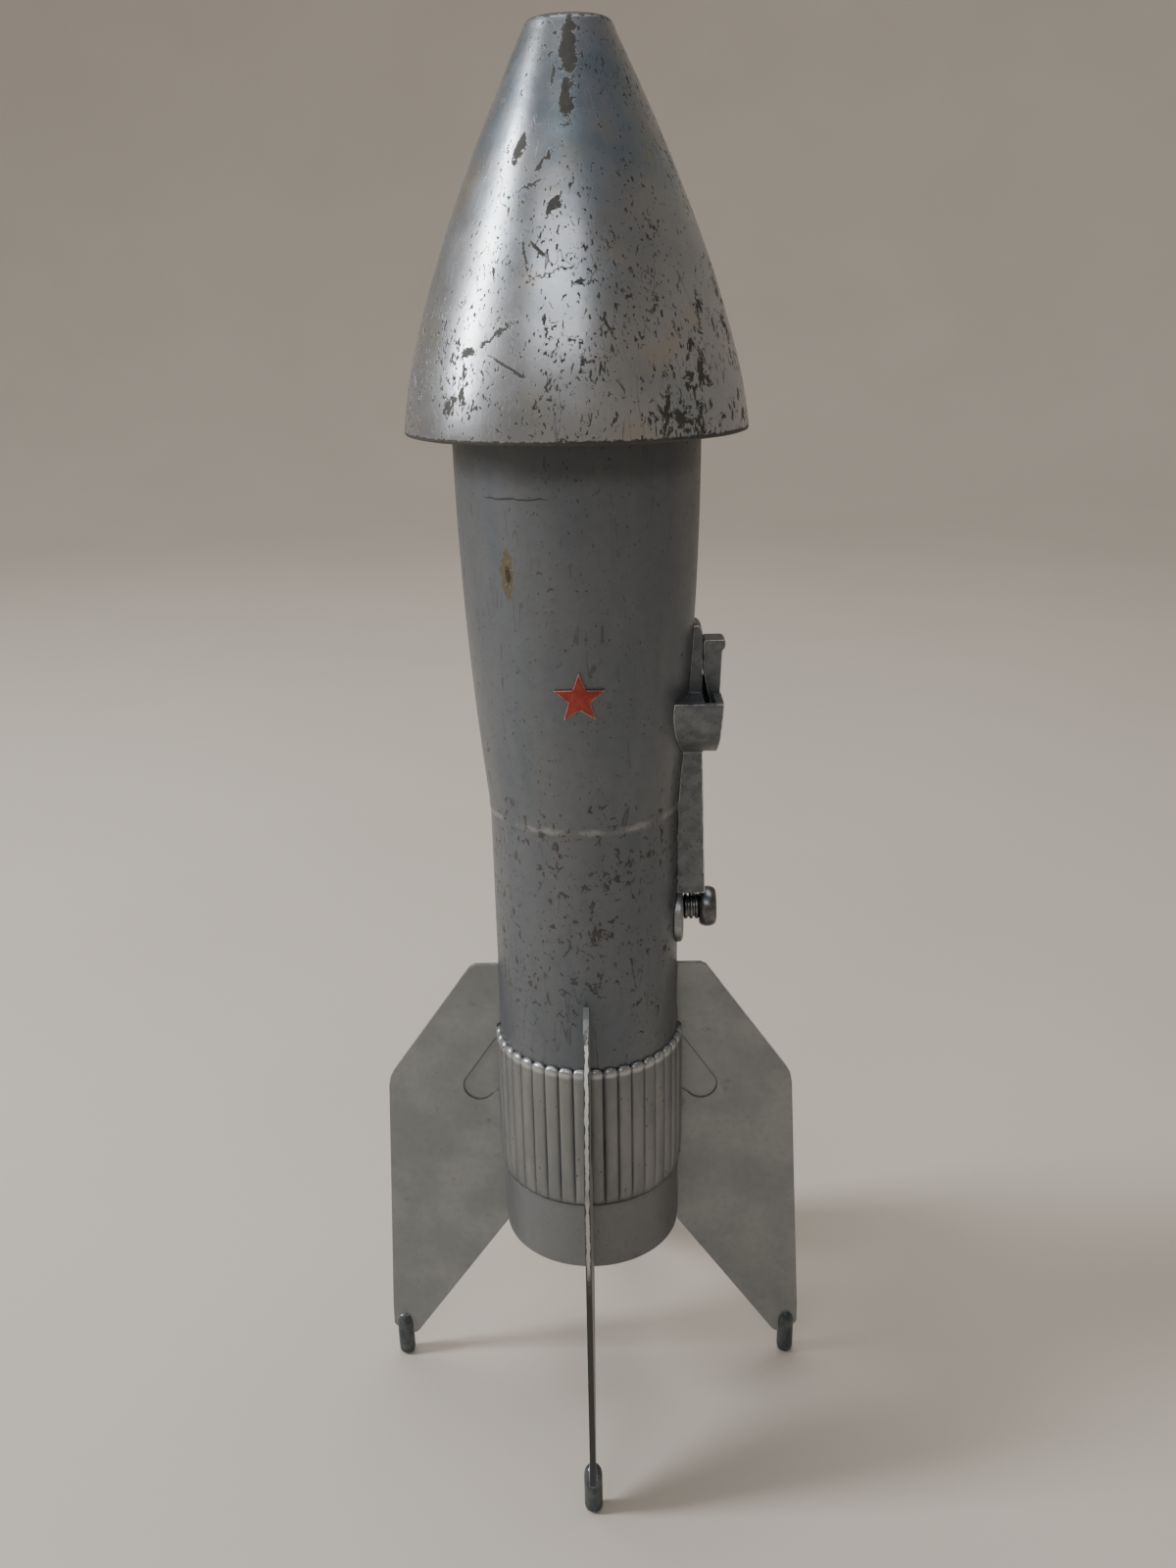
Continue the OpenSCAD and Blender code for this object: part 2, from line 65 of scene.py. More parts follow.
RIM_R = nose_high.x
RIM_Z = nose_low.z
TIP_Z = nose_high.z
NOSE_H = TIP_Z - RIM_Z
NOSE_TAPER = 25.7 * MM
NOSE_POWER = 1.42
NOSE_WALL = 1.8 * MM
NOSE_LEDGE_R = 29.6 * MM
SCREW_HEAD_R = screw_high.x

MOUTH_R = 24.05 * MM
WAIST_R = 19.8 * MM
WAIST_Z = 146 * MM
FLARE_POWER = 1.95
BODY_WALL = 1.6 * MM
TAIL_R = 20.1 * MM
COLLAR_SEAT_R = 19.6 * MM
FLANGE_R = MOUTH_R + 0.95 * MM
RIB_IN_R = 20.4 * MM
RIB_IN_Z = RIM_Z - 10 * MM
PART_GAP = 0.05 * MM

RIB_COUNT = 40
KNOB_Z = (knob_low.z + knob_high.z) / 2


# ---------------------------------------------------------------- mesh helpers
def make_object(name, verts, faces):
    """A mesh object from points in metres."""
    mesh = bpy.data.meshes.new(name)
    mesh.from_pydata(verts, [], faces)
    mesh.validate()
    obj = bpy.data.objects.new(name, mesh)
    scene.collection.objects.link(obj)
    return obj


def clean(obj, smooth_angle=35):
    """Welds the mesh, turns its normals outward and shades it smooth up to an angle."""
    bm = bmesh.new()
    bm.from_mesh(obj.data)
    bmesh.ops.remove_doubles(bm, verts=bm.verts, dist=1e-7)
    bmesh.ops.recalc_face_normals(bm, faces=bm.faces)
    for face in bm.faces:
        face.smooth = True
    limit = math.radians(smooth_angle)
    for edge in bm.edges:
        edge.smooth = len(edge.link_faces) != 2 or edge.calc_face_angle(0) < limit
    bm.to_mesh(obj.data)
    bm.free()
    obj.data.update()


def apply_modifiers(obj):
    """Replaces the object's mesh with what its modifiers make of it."""
    depsgraph = bpy.context.evaluated_depsgraph_get()
    mesh = bpy.data.meshes.new_from_object(obj.evaluated_get(depsgraph))
    old = obj.data
    obj.modifiers.clear()
    obj.data = mesh
    bpy.data.meshes.remove(old)


def revolve(name, profile, segments, start=0.0, end=2 * math.pi):
    """Turns a closed (radius, height) outline round the Z axis, whole or as an arc with flat ends."""
    whole = abs(end - start - 2 * math.pi) < 1e-6
    rings = segments if whole else segments + 1
    count = len(profile)
    verts = []
    for i in range(rings):
        angle = start + (end - start) * i / segments
        verts += [(r * math.cos(angle), r * math.sin(angle), z) for r, z in profile]
    faces = []
    for i in range(segments):
        j = (i + 1) % rings
        for k in range(count):
            n = (k + 1) % count
            faces.append((i * count + k, j * count + k, j * count + n, i * count + n))
    if not whole:
        faces.append(tuple(range(count)))
        faces.append(tuple(reversed(range((rings - 1) * count, rings * count))))
    return make_object(name, verts, faces)


def span(start, end, steps):
    """Evenly spaced values from start to end, both included."""
    return [start + (end - start) * i / steps for i in range(steps + 1)]


def grid_faces(rows, segments):
    """Faces between rows of points that close into rings."""
    faces = []
    for k in range(rows - 1):
        low, high = k * segments, (k + 1) * segments
        for i in range(segments):
            j = (i + 1) % segments
            faces.append((low + i, low + j, high + j, high + i))
    return faces


def turned_x(name, profile, segments, z):
    """Turns an open (radius, x) outline that starts and ends on the axis round a line along X."""
    verts = []
    for r, x in profile:
        for i in range(segments):
            angle = 2 * math.pi * i / segments
            verts.append((x, r * math.cos(angle), z + r * math.sin(angle)))
    return make_object(name, verts, grid_faces(len(profile), segments))


def arc(cx, cy, rx, ry, a0, a1, steps):
    """Points on an elliptical arc, angles in degrees."""
    angles = [math.radians(a0 + (a1 - a0) * i / steps) for i in range(steps + 1)]
    return [(cx + rx * math.cos(a), cy + ry * math.sin(a)) for a in angles]


def jitter(obj, amount, size, seed):
    """Moves the points along their normals by smooth noise, without leaving the rocket's height."""
    mesh = obj.data
    offset = Vector((seed * 7.3, seed * 1.7, seed * 3.1))
    normals = [v.normal.copy() for v in mesh.vertices]
    for v, n in zip(mesh.vertices, normals):
        v.co += n * amount * noise.noise(v.co / size + offset)
        v.co.z = min(max(v.co.z, 0.0), TIP_Z)
    mesh.update()


def add_wear(obj, reach):
    """Stores how convex the surface is at each point, 0 to 1, for paint rubbed off the edges."""
    mesh = obj.data
    bm = bmesh.new()
    bm.from_mesh(mesh)
    bm.normal_update()
    values = []
    for v in bm.verts:
        total = 0.0
        for edge in v.link_edges:
            step = v.co - edge.other_vert(v).co
            total += step.normalized().dot(v.normal) / max(step.length, 1e-7)
        values.append(min(max(total / max(len(v.link_edges), 1) * reach, 0.0), 1.0))
    neighbours = [[e.other_vert(v).index for e in v.link_edges] for v in bm.verts]
    bm.free()
    for _ in range(2):
        values = [(values[i] + sum(values[j] for j in near)) / (1 + len(near))
                  for i, near in enumerate(neighbours)]
    layer = mesh.attributes.new("wear", "FLOAT", "POINT")
    layer.data.foreach_set("value", values)


def stand_in(obj, body, node, material):
    """The finished piece takes the place of a CAD node and rides on its body."""
    obj.data.materials.clear()
    obj.data.materials.append(material)
    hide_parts(node)
    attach(obj, body)


def cast_copy(node, name, voxel, smooth, keep, lumps, seed):
    """A fine mesh of a CAD node with softened edges and a slightly uneven surface."""
    obj = bpy.data.objects.new(name, frame["nodes"][node].data.copy())
    scene.collection.objects.link(obj)
    clean(obj)
    remesh = obj.modifiers.new("remesh", "REMESH")
    remesh.mode = "VOXEL"
    remesh.voxel_size = voxel
    soften = obj.modifiers.new("soften", "SMOOTH")
    soften.factor = 0.5
    soften.iterations = smooth
    if keep < 1:
        thin = obj.modifiers.new("thin", "DECIMATE")
        thin.ratio = keep
    apply_modifiers(obj)
    for polygon in obj.data.polygons:
        polygon.use_smooth = True
    jitter(obj, lumps, 2.5 * MM, seed)
    return obj


def fin_piece(node, name):
    """A fin's own mesh with its edges rounded off."""
    obj = bpy.data.objects.new(name, frame["nodes"][node].data.copy())
    scene.collection.objects.link(obj)
    clean(obj, 25)
    edge = obj.modifiers.new("edge", "BEVEL")
    edge.width = 0.13 * MM
    edge.segments = 3
    edge.limit_method = "ANGLE"
    edge.angle_limit = math.radians(30)
    edge.harden_normals = True
    edge.use_clamp_overlap = True
    apply_modifiers(obj)
    return obj


# ---------------------------------------------------------------- material helpers
class Nodes:
    """Short names for building one material's node tree. Coordinates are the row frame's millimetres."""

    def __init__(self, name):
        self.material = bpy.data.materials.new(name)
        self.material.use_nodes = True
        self.tree = self.material.node_tree
        self.tree.nodes.clear()
        self.out = self.tree.nodes.new("ShaderNodeOutputMaterial")
        self.shader = self.tree.nodes.new("ShaderNodeBsdfPrincipled")
        self.tree.links.new(self.shader.outputs[0], self.out.inputs["Surface"])
        coord = self.tree.nodes.new("ShaderNodeTexCoord")
        self.mm = self.vector("SCALE", coord.outputs["Object"], scale=1000.0)
        split = self.tree.nodes.new("ShaderNodeSeparateXYZ")
        self.link(self.mm, split.inputs[0])
        self.x, self.y, self.z = split.outputs

    def link(self, value, socket):
        """Feeds a socket from another socket or sets a plain value."""
        if isinstance(value, bpy.types.NodeSocket):
            self.tree.links.new(value, socket)
        else:
            socket.default_value = value

    def vector(self, operation, a, b=None, scale=None):
        node = self.tree.nodes.new("ShaderNodeVectorMath")
        node.operation = operation
        self.link(a, node.inputs[0])
        if b is not None:
            self.link(b, node.inputs[1])
        if scale is not None:
            self.link(scale, node.inputs["Scale"])
        return node.outputs[0]

    def math(self, operation, a, b=0.0, c=None):
        node = self.tree.nodes.new("ShaderNodeMath")
        node.operation = operation
        self.link(a, node.inputs[0])
        self.link(b, node.inputs[1])
        if c is not None:
            self.link(c, node.inputs[2])
        return node.outputs[0]

    def add(self, a, b):
        return self.math("ADD", a, b)

    def sub(self, a, b):
        return self.math("SUBTRACT", a, b)

    def mul(self, a, b):
        return self.math("MULTIPLY", a, b)

    def vary(self, value, amount):
        """A noise value moved to lie around 0, times an amount."""
        return self.mul(self.sub(value, 0.5), amount)

    def step(self, value, low, high, to_low=0.0, to_high=1.0):
        """Smooth step of a value from low to high."""
        node = self.tree.nodes.new("ShaderNodeMapRange")
        node.interpolation_type = "SMOOTHSTEP"
        self.link(value, node.inputs["Value"])
        limits = {"From Min": low, "From Max": high, "To Min": to_low, "To Max": to_high}
        for socket, number in limits.items():
            self.link(number, node.inputs[socket])
        return node.outputs[0]

    def noise(self, size, detail=3.0, stretch=(1, 1, 1), seed=0.0, rough=0.55, distort=0.0, turn=None):
        """Noise whose grains are about size millimetres, stretched along the axes."""
        place = self.tree.nodes.new("ShaderNodeMapping")
        self.link(self.mm, place.inputs["Vector"])
        place.inputs["Location"].default_value = (seed * 13.7, seed * 5.1, seed * 9.3)
        if turn:
            place.inputs["Rotation"].default_value = [math.radians(t) for t in turn]
        place.inputs["Scale"].default_value = [1 / s for s in stretch]
        node = self.tree.nodes.new("ShaderNodeTexNoise")
        self.link(place.outputs[0], node.inputs["Vector"])
        node.inputs["Scale"].default_value = 1.0 / size
        node.inputs["Detail"].default_value = detail
        node.inputs["Roughness"].default_value = rough
        node.inputs["Distortion"].default_value = distort
        return node.outputs["Fac"]

    def mix(self, factor, a, b):
        """Colour a where factor is 0 and b where it is 1."""
        node = self.tree.nodes.new("ShaderNodeMix")
        node.data_type = "RGBA"
        self.link(factor, node.inputs["Factor"])
        colours = [s for s in node.inputs if s.type == "RGBA"]
        for value, socket in zip((a, b), colours):
            self.link((*value, 1.0) if isinstance(value, tuple) else value, socket)
        return [s for s in node.outputs if s.type == "RGBA"][0]

    def blend(self, factor, a, b):
        """Number a where factor is 0 and b where it is 1."""
        node = self.tree.nodes.new("ShaderNodeMix")
        node.data_type = "FLOAT"
        self.link(factor, node.inputs[0])
        self.link(a, node.inputs[2])
        self.link(b, node.inputs[3])
        return node.outputs[0]

    def attribute(self, name):
        node = self.tree.nodes.new("ShaderNodeAttribute")
        node.attribute_name = name
        return node.outputs["Fac"]

    def radius(self):
        """Distance from the rocket's axis."""
        return self.math("SQRT", self.add(self.mul(self.x, self.x), self.mul(self.y, self.y)))

    def any_of(self, *values):
        """The largest of several masks."""
        result = values[0]
        for value in values[1:]:
            result = self.math("MAXIMUM", result, value)
        return result

    def both(self, *values):
        """The product of several masks."""
        result = values[0]
        for value in values[1:]:
            result = self.math("MULTIPLY", result, value)
        return result

    def bump(self, height, distance, strength=1.0, under=None):
        node = self.tree.nodes.new("ShaderNodeBump")
        node.inputs["Strength"].default_value = strength
        node.inputs["Distance"].default_value = distance
        self.link(height, node.inputs["Height"])
        if under is not None:
            self.link(under, node.inputs["Normal"])
        return node.outputs[0]

    def finish(self, colour, metallic, roughness, normal=None):
        for value, name in ((colour, "Base Color"), (metallic, "Metallic"), (roughness, "Roughness")):
            self.link((*value, 1.0) if isinstance(value, tuple) else value, self.shader.inputs[name])
        if normal is not None:
            self.link(normal, self.shader.inputs["Normal"])
        return self.material


def scratches(n, size, threshold, seed, turn):
    """Thin broken lines that run in one direction."""
    lines = n.noise(size, 2.0, stretch=(1, 1, 14), seed=seed, turn=turn, distort=0.25)
    ridge = n.math("ABSOLUTE", n.sub(lines, 0.5))
    thin = n.step(ridge, 0.006, 0.0)
    where = n.step(n.noise(9.0, 2.0, seed=seed + 3.3), threshold, threshold + 0.03)
    return n.both(thin, where)


def strokes(n, around, marks, ragged, waver=3.4):
    """Elongated marks on a turned surface, placed by their distance round the front and their height."""
    bend = n.vary(ragged, waver)
    flat = n.tree.nodes.new("ShaderNodeCombineXYZ")
    n.link(n.add(around, bend), flat.inputs[0])
    n.link(n.sub(n.z, bend), flat.inputs[1])
    nearest = 9.0
    for at, size, turn in marks:
        place = n.tree.nodes.new("ShaderNodeMapping")
        place.vector_type = "TEXTURE"
        n.link(flat.outputs[0], place.inputs["Vector"])
        place.inputs["Location"].default_value = (at[0], at[1], 0.0)
        place.inputs["Rotation"].default_value = (0.0, 0.0, math.radians(turn))
        place.inputs["Scale"].default_value = (size[0] / 2, size[1] / 2, 1.0)
        length = n.tree.nodes.new("ShaderNodeVectorMath")
        length.operation = "LENGTH"
        n.link(place.outputs[0], length.inputs[0])
        nearest = n.math("MINIMUM", length.outputs["Value"], nearest)
    return n.step(n.add(nearest, n.vary(ragged, 3.2)), 1.15, 0.9)


# The fins' drop-shaped recess in millimetres: its round end's distance from the axis, height and radius,
# and the direction that its long side faces
DROP_R = 25.4
DROP_Z = 76.4
DROP_SIZE = 3.6
DROP_LEAN = (0.823, 0.568)

# Marks on the body in millimetres: the yellowed chip's place across and up, the scratch and the ridge
STAIN_AT = (-12.9, 197.6)
SCRATCH_Z = 211.8
RIDGE_Z = 146.1

# Radius at which distances round the nose are true to size; nearer the tip they shrink with the cone
MARK_R = 28.0
# Marks on the nose's front: place round from the middle and height, length and width, tilt in degrees
NOSE_MARKS = [
    ((0.6, 286.0), (12.0, 7.5), 88), ((-0.6, 277.5), (7.0, 4.6), 84), ((-5.6, 281.5), (3.4, 1.3), 75),
    ((-6.2, 267.8), (6.0, 1.2), 40), ((-8.6, 264.0), (5.6, 0.8), 15), ((-6.0, 253.6), (5.4, 0.5), -38),
    ((-8.4, 252.0), (6.0, 0.45), -70), ((-3.6, 249.8), (10.0, 0.34), 16), ((-12.2, 240.6), (7.4, 0.6), 32),
    ((-9.6, 234.6), (8.0, 0.5), -30), ((-18.0, 237.4), (2.6, 1.1), 25), ((-18.2, 230.0), (1.0, 3.0), 5),
    ((-13.5, 270.0), (5.5, 2.4), 60), ((-3.4, 260.5), (4.0, 1.8), 50), ((22.6, 233.8), (1.3, 4.8), -15),
    ((25.4, 244.0), (0.8, 7.0), -14),
]


def nose_material():
    n = Nodes("nose_paint")
    around = n.mul(n.math("ARCTAN2", n.x, n.mul(n.y, -1.0)), MARK_R)
    # Blue-tinted patches of the old plating, mostly in the upper half
    blue_zone = n.both(n.step(n.noise(12.0, 4.0, seed=1.4), 0.40, 0.66), n.step(n.z, 232.0, 276.0))
    blue_low = n.both(n.step(n.noise(14.0, 3.0, seed=6.1), 0.50, 0.68), n.step(n.z, 250.0, 226.0))
    tone = n.mix(n.noise(11.0, 3.0, seed=2.0), (0.36, 0.38, 0.41), (0.50, 0.51, 0.53))
    tone = n.mix(n.mul(blue_zone, 0.55), tone, (0.24, 0.34, 0.42))
    tone = n.mix(n.mul(blue_low, 0.4), tone, (0.27, 0.35, 0.42))
    tone = n.mix(n.mul(n.step(n.noise(13.0, 2.0, seed=9.7), 0.56, 0.70), 0.4), tone, (0.47, 0.43, 0.33))
    # Flecks and chips, denser low down on the right
    crowd = n.noise(15.0, 2.0, seed=4.2)
    fleck = n.noise(0.62, 2.0, stretch=(1, 1, 2.4), seed=0.6)
    flecks = n.step(n.add(fleck, n.mul(crowd, 0.34)), 0.79, 0.83)
    chip = n.noise(2.3, 6.0, stretch=(1, 1, 1.3), seed=3.1, rough=0.70, distort=0.7)
    low_down = n.step(n.z, 256.0, 226.0, 0.0, 0.055)
    to_right = n.step(n.x, 2.0, 26.0, 0.0, 0.035)
    chip_level = n.add(chip, n.add(low_down, to_right))
    chips = n.step(n.add(chip_level, n.mul(crowd, 0.22)), 0.752, 0.765)
    rim_noise = n.mul(n.noise(1.1, 5.0, seed=5.5, rough=0.7), 1.5)
    rim = n.step(n.add(n.z, rim_noise), 223.75, 223.45)
    tip_noise = n.mul(n.noise(2.2, 4.0, seed=7.7, rough=0.7), 3.0)
    tip = n.step(n.sub(n.z, tip_noise), 289.3, 290.1)
    ragged = n.noise(1.5, 6.0, seed=8.8, rough=0.72)
    front = n.step(n.y, -1.0, -4.0)
    marks = n.both(strokes(n, around, NOSE_MARKS, ragged), front)
    lines = n.any_of(scratches(n, 5.5, 0.52, 1.1, (18, 35, 0)), scratches(n, 6.5, 0.54, 2.6, (-35, 10, 20)))
    bare = n.any_of(flecks, chips, rim, tip, marks, n.mul(lines, 0.7))
    bare_tone = n.mix(n.noise(1.2, 3.0, seed=9.1), (0.035, 0.036, 0.036), (0.10, 0.095, 0.085))
    colour = n.mix(bare, tone, bare_tone)
    # Fine upright rubbing that shows in the highlights
    rub = n.noise(0.5, 2.0, stretch=(1, 1, 9), seed=2.7)
    colour = n.mix(n.mul(n.step(rub, 0.58, 0.74), 0.20), colour, (0.17, 0.18, 0.19))
    rough = n.add(0.22, n.mul(n.noise(6.0, 4.0, seed=1.9), 0.16))
    rough = n.blend(bare, rough, 0.6)
    height = n.add(n.mul(bare, -0.6), n.mul(rub, 0.10))
    normal = n.bump(height, 0.022 * MM, 1.0, n.bump(n.noise(3.0, 2.0, seed=5.0), 0.05 * MM, 0.6))
    return n.finish(colour, n.blend(bare, 0.88, 0.4), rough, normal)


def body_material():
    n = Nodes("body_paint")
    # Cooler and lighter clouds in long upright bands
    bands = n.step(n.noise(9.0, 2.0, stretch=(1, 1, 4), seed=1.0), 0.35, 0.65)
    tone = n.mix(bands, (0.136, 0.152, 0.174), (0.162, 0.173, 0.188))
    mottle = n.mul(n.step(n.noise(2.0, 5.0, seed=3.0), 0.35, 0.75), 0.25)
    tone = n.mix(mottle, tone, (0.11, 0.11, 0.11))
    # Dust specks everywhere, chips crowding round the waist
    speck = n.noise(0.5, 1.0, stretch=(1, 1, 1.5), seed=2.2)
    specks = n.step(n.add(speck, n.mul(n.noise(12.0, 2.0, seed=4.0), 0.24)), 0.83, 0.86)
    zone = n.both(n.step(n.z, 92.0, 112.0), n.step(n.z, 172.0, 140.0))
    chip = n.noise(1.7, 5.0, stretch=(1, 1, 1.2), seed=5.0, rough=0.62, distort=0.5)
    crowd = n.mul(n.noise(10.0, 2.0, seed=6.0), 0.24)
    chips = n.step(n.add(n.add(chip, crowd), n.mul(zone, 0.098)), 0.815, 0.83)
    lines_a = scratches(n, 7.0, 0.56, 5.1, (25, 20, 0))
    lines_b = scratches(n, 6.0, 0.58, 7.7, (-50, 5, 30))
    lines = n.both(n.any_of(lines_a, lines_b), 0.7)
    bare = n.any_of(specks, chips, lines)
    bare_tone = n.mix(n.noise(1.0, 2.0, seed=8.0), (0.045, 0.042, 0.042), (0.12, 0.105, 0.098))
    colour = n.mix(bare, tone, bare_tone)
    # A yellowed patch of lifted paint on the upper left of the front
    stain_x = n.math("DIVIDE", n.sub(n.x, STAIN_AT[0]), 1.4)
    stain_z = n.math("DIVIDE", n.sub(n.z, STAIN_AT[1]), 5.0)
    stain_d = n.add(n.math("POWER", stain_x, 2.0), n.math("POWER", stain_z, 2.0))
    stain_d = n.add(n.math("SQRT", stain_d), n.mul(n.noise(1.6, 4.0, seed=3.7), 1.3))
    broken = n.step(n.noise(1.3, 4.0, seed=12.0, rough=0.65), 0.36, 0.46)
    in_front = n.step(n.y, 0.0, -4.0)
    stain = n.both(n.step(stain_d, 1.62, 1.38), in_front, broken)
    colour = n.mix(n.mul(stain, 0.9), colour, (0.15, 0.125, 0.07))
    pit = n.both(n.step(stain_d, 1.05, 0.90), in_front)
    colour = n.mix(n.mul(pit, 0.8), colour, (0.035, 0.03, 0.026))
    # A thin scratch across the upper left, just under the nose
    wander = n.vary(n.noise(3.5, 2.0, seed=14.0), 1.6)
    line_z = n.math("ABSOLUTE", n.sub(n.add(n.z, wander), SCRATCH_Z))
    line_x = n.both(n.step(n.x, -17.5, -16.0), n.step(n.x, -4.0, -6.5), in_front)
    colour = n.mix(n.both(n.step(line_z, 0.22, 0.10), line_x, 0.8), colour, (0.05, 0.045, 0.04))
    # Paint rubbed thin on the ridge where the flare starts
    ridge_z = n.add(n.z, n.vary(n.noise(2.0, 4.0, seed=15.0), 1.4))
    ridge = n.step(n.math("ABSOLUTE", n.sub(ridge_z, RIDGE_Z)), 1.1, 0.1)
    ridge = n.both(ridge, n.step(n.noise(4.5, 4.0, seed=6.6), 0.38, 0.60))
    colour = n.mix(n.mul(ridge, 0.42), colour, (0.44, 0.43, 0.42))
    # The tail below the collar is a little paler
    colour = n.mix(n.step(n.z, 60.0, 56.0, 0.0, 0.18), colour, (0.44, 0.42, 0.39))
    # A painted shadow darkens a band under the nose's rim; dirt darkens the parting line
    under = n.step(n.add(n.z, n.mul(n.noise(5.0, 3.0, seed=2.4), 3.0)), 214.5, 219.0)
    colour = n.mix(n.mul(under, 0.45), colour, (0.04, 0.04, 0.042))
    seam = n.step(n.math("ABSOLUTE", n.y), 0.35, 0.08)
    colour = n.mix(n.mul(seam, 0.7), colour, (0.03, 0.03, 0.03))
    rough = n.blend(bare, n.add(0.33, n.mul(n.noise(4.0, 4.0, seed=7.0), 0.16)), 0.7)
    height = n.sub(n.mul(n.noise(0.5, 3.0, seed=9.0), 0.10), n.add(bare, stain))
    normal = n.bump(height, 0.05 * MM, 1.0, n.bump(n.noise(4.0, 2.0, seed=5.5), 0.06 * MM, 0.5))
    return n.finish(colour, n.blend(bare, 0.62, 0.3), rough, normal)


def collar_material():
    n = Nodes("collar_paint")
    clouds = n.step(n.noise(6.0, 3.0, stretch=(1, 1, 3), seed=1.0), 0.35, 0.65)
    tone = n.mix(clouds, (0.210, 0.219, 0.230), (0.265, 0.266, 0.265))
    # Painted shade in the grooves, a painted shadow at the lower edge and painted highlights on the bead tops
    radius = n.radius()
    valley_shade = n.step(n.add(radius, n.mul(n.noise(1.5, 4.0, seed=2.0), 0.25)), 20.78, 20.6)
    valley_shade = n.both(valley_shade, n.step(n.noise(7.0, 2.0, stretch=(1, 1, 2), seed=6.0), 0.30, 0.66, 0.10, 1.0))
    tone = n.mix(n.mul(valley_shade, 0.42), tone, (0.07, 0.068, 0.063))
    # Painted shadow along the collar's lower edge, where it meets the tail
    lower_edge_shadow = n.step(n.add(n.z, n.mul(n.noise(1.6, 4.0, seed=3.0), 0.5)), 58.9, 58.5)
    tone = n.mix(n.mul(lower_edge_shadow, 0.7), tone, (0.04, 0.036, 0.03))
    # Painted highlight: the bead tops are painted pale, as if lit from above
    top = n.both(n.step(n.z, 90.0, 90.9), n.step(radius, 20.0, 20.4))
    colour = n.mix(n.mul(top, 0.75), tone, (0.50, 0.51, 0.52))
    speck = n.step(n.noise(0.7, 3.0, stretch=(1, 1, 2), seed=4.0), 0.68, 0.72)
    colour = n.mix(speck, colour, (0.07, 0.065, 0.06))
    rough = n.blend(top, n.add(0.38, n.mul(n.noise(3.0, 4.0, seed=7.0), 0.16)), 0.32)
    normal = n.bump(n.noise(0.6, 3.0, seed=9.0), 0.02 * MM, 0.8)
    return n.finish(colour, 0.72, rough, normal)


def fin_material():
    n = Nodes("fin_paint")
    clouds = n.step(n.noise(14.0, 3.0, seed=1.0), 0.35, 0.65)
    tone = n.mix(clouds, (0.262, 0.275, 0.277), (0.322, 0.334, 0.332))
    tone = n.mix(n.mul(n.step(n.noise(1.6, 5.0, seed=3.0), 0.4, 0.8), 0.22), tone, (0.17, 0.175, 0.165))
    smudge = n.both(n.step(n.noise(5.0, 4.0, seed=6.0), 0.62, 0.74), 0.4)
    tone = n.mix(smudge, tone, (0.11, 0.11, 0.10))
    spots = n.step(n.noise(1.0, 3.0, seed=5.0), 0.72, 0.76)
    tone = n.mix(spots, tone, (0.06, 0.06, 0.055))
    # Painted shade along the outline of the drop-shaped recess, its round end and its long side
    from_axis = n.radius()
    drop_x = n.sub(from_axis, DROP_R)
    drop_z = n.sub(n.z, DROP_Z)
    across = n.add(n.mul(drop_x, DROP_LEAN[0]), n.mul(drop_z, DROP_LEAN[1]))
    along = n.sub(n.mul(drop_z, DROP_LEAN[0]), n.mul(drop_x, DROP_LEAN[1]))
    round_d = n.math("SQRT", n.add(n.mul(drop_x, drop_x), n.mul(drop_z, drop_z)))
    reach = n.blend(n.step(along, 0.0, 0.2), round_d, across)
    off_line = n.math("ABSOLUTE", n.sub(reach, DROP_SIZE))
    drop_outline_shade = n.both(n.step(off_line, 0.32, 0.08), n.step(drop_z, 13.0, 12.0))
    tone = n.mix(n.mul(drop_outline_shade, 0.6), tone, (0.09, 0.092, 0.085))
    # The thin edges show by the way they face, whichever plane the fin stands in
    coord = n.tree.nodes.new("ShaderNodeTexCoord")
    facing = n.tree.nodes.new("ShaderNodeSeparateXYZ")
    n.link(coord.outputs["Normal"], facing.inputs[0])
    along_x = n.step(n.sub(n.math("ABSOLUTE", n.x), n.math("ABSOLUTE", n.y)), -1.0, 1.0)
    flat = n.blend(along_x, n.math("ABSOLUTE", facing.outputs[0]), n.math("ABSOLUTE", facing.outputs[1]))
    off_plane = n.blend(along_x, n.math("ABSOLUTE", n.x), n.math("ABSOLUTE", n.y))
    edge = n.step(flat, 0.93, 0.6)
    ragged = n.vary(n.noise(1.1, 5.0, stretch=(1, 1, 2), seed=2.0), 0.8)
    middle = n.step(n.add(off_plane, ragged), 0.44, 0.30)
    # Bare metal runs along the middle of the outer edge, from the collar's foot to near the fin's top
    rough_z = n.add(n.z, n.mul(ragged, 16.0))
    worn = n.both(n.step(rough_z, 56.0, 66.0), n.step(rough_z, 105.0, 102.5), n.step(from_axis, 23.5, 24.5))
    bright = n.both(edge, middle, worn)
    edge = n.both(edge, n.step(rough_z, 106.5, 103.5))
    low_down = n.step(n.z, 22.0, 12.0)
    colour = n.mix(edge, tone, n.mix(low_down, (0.058, 0.06, 0.052), (0.05, 0.062, 0.07)))
    colour = n.mix(bright, colour, (0.46, 0.46, 0.445))
    rough = n.add(0.44, n.mul(n.noise(3.0, 4.0, seed=7.0), 0.14))
    rough = n.blend(bright, rough, 0.34)
    height = n.sub(n.mul(n.noise(0.6, 3.0, seed=9.0), 0.2), n.add(spots, bright))
    normal = n.bump(height, 0.03 * MM, 0.8, n.bump(n.noise(7.0, 2.0, seed=5.5), 0.12 * MM, 0.6))
    return n.finish(colour, n.blend(bright, 0.5, 0.85), rough, normal)


